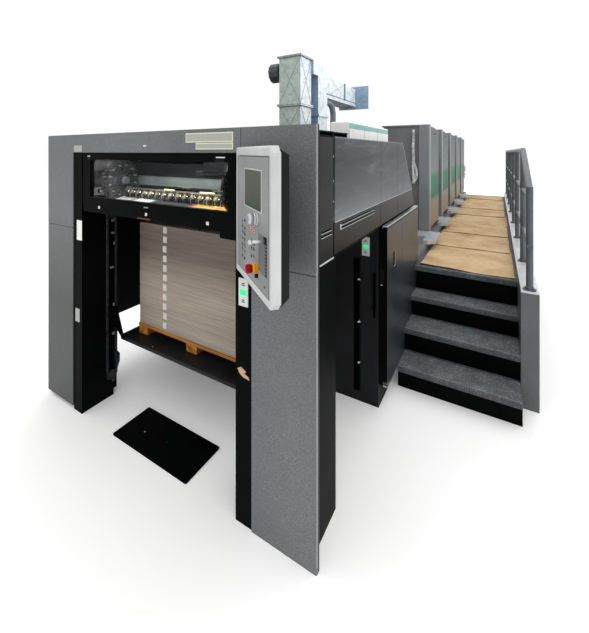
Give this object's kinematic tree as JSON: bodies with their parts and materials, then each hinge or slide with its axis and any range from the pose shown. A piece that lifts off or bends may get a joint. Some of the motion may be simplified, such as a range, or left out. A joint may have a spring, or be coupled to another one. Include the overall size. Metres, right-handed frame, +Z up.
{
  "type": "offset printing press",
  "caption": "Sheet-fed offset press with pile delivery and window, angled console, row of tall print units, operator gallery with stairs and rail, roof ducts and plain feeder.",
  "frame": {"origin": "bottom centre of the whole press's box, on the floor", "axes": "+Y along the press from the delivery to the feeder, +X towards the operator side, +Z up"},
  "size_m": [2.925, 10.624, 2.382],
  "materials": {
    "front_grey": "satin grey paint",
    "frame_black": "matte black paint",
    "cover_dark": "dark satin metallic paint",
    "unit_dark": "dark grey paint",
    "column_grey": "light grey paint",
    "door_gloss": "glossy light paint",
    "console_grey": "pale moulded panel",
    "console_black": "dark housing",
    "screen_glass": "screen",
    "steel": "bright steel",
    "dark_steel": "oiled dark steel",
    "red_button": "red plastic",
    "lens_green": "lit green lens",
    "clear_glass": "clear window",
    "board_black": "black coated board",
    "pallet_wood": "raw wood",
    "paper": "stacked paper",
    "cardboard": "brown board",
    "galvanised": "galvanised sheet",
    "powder_white": "pale paint",
    "tread_grey": "anti-slip tread",
    "rail_grey": "blue-grey paint"
  },
  "bodies": {
    "press": {"leg_frames": "frame_black", "leg_covers": "front_grey", "upper_covers": "front_grey", "header_cover": "front_grey", "head_walls": "frame_black", "delivery_roof": "cover_dark", "delivery_crossbeam": "frame_black", "window_frame": "frame_black", "window_glass": "clear_glass", "chain_wheels": "dark_steel", "gripper_bar": "steel", "sheet_guides": "steel", "console_panel": "console_grey", "console_housing": "console_black", "console_display": "screen_glass", "console_controls": "steel", "emergency_stop": "red_button", "status_plates": "console_grey", "status_lenses": "lens_green", "chain_loops": "dark_steel", "hoist_wheels": "dark_steel", "side_cover_doors": "cover_dark", "side_cover_panels": "cover_dark", "drive_side_cover": "cover_dark", "bay_cabinets": "frame_black", "cabinet_doors": "cover_dark", "bright_trim": "steel", "pile_bay_walls": "frame_black", "floor_plate": "board_black", "track_housing": "unit_dark", "machine_bed": "unit_dark", "unit_columns": "column_grey", "unit_doors": "door_gloss", "foot_plates": "galvanised", "powder_box": "powder_white", "exhaust_duct": "galvanised", "exhaust_blower": "console_black", "rear_duct": "galvanised", "exhaust_pipe": "galvanised", "metal_hose": "galvanised", "stair_treads": "tread_grey", "gallery_deck": "tread_grey", "gallery_base": "frame_black", "deck_boards": "cardboard", "gallery_fascia": "front_grey", "handrail": "rail_grey", "feeder_frame": "unit_dark", "feed_table": "steel", "feeder_head": "column_grey", "feeder_pile": "paper", "printing_unit_1": "unit_dark", "printing_unit_2": "unit_dark", "printing_unit_3": "unit_dark", "printing_unit_4": "unit_dark", "printing_unit_5": "unit_dark"},
    "pile_hoist": {"pile_board": "board_black", "pallet": "pallet_wood", "paper_pile": "paper", "hoist_arms": "frame_black"}
  },
  "joints": [
    {"name": "pile_lift", "type": "slide", "parent": "press", "child": "pile_hoist", "axis": [0, 0, 1], "range_m": [-0.38, 0]}
  ]
}
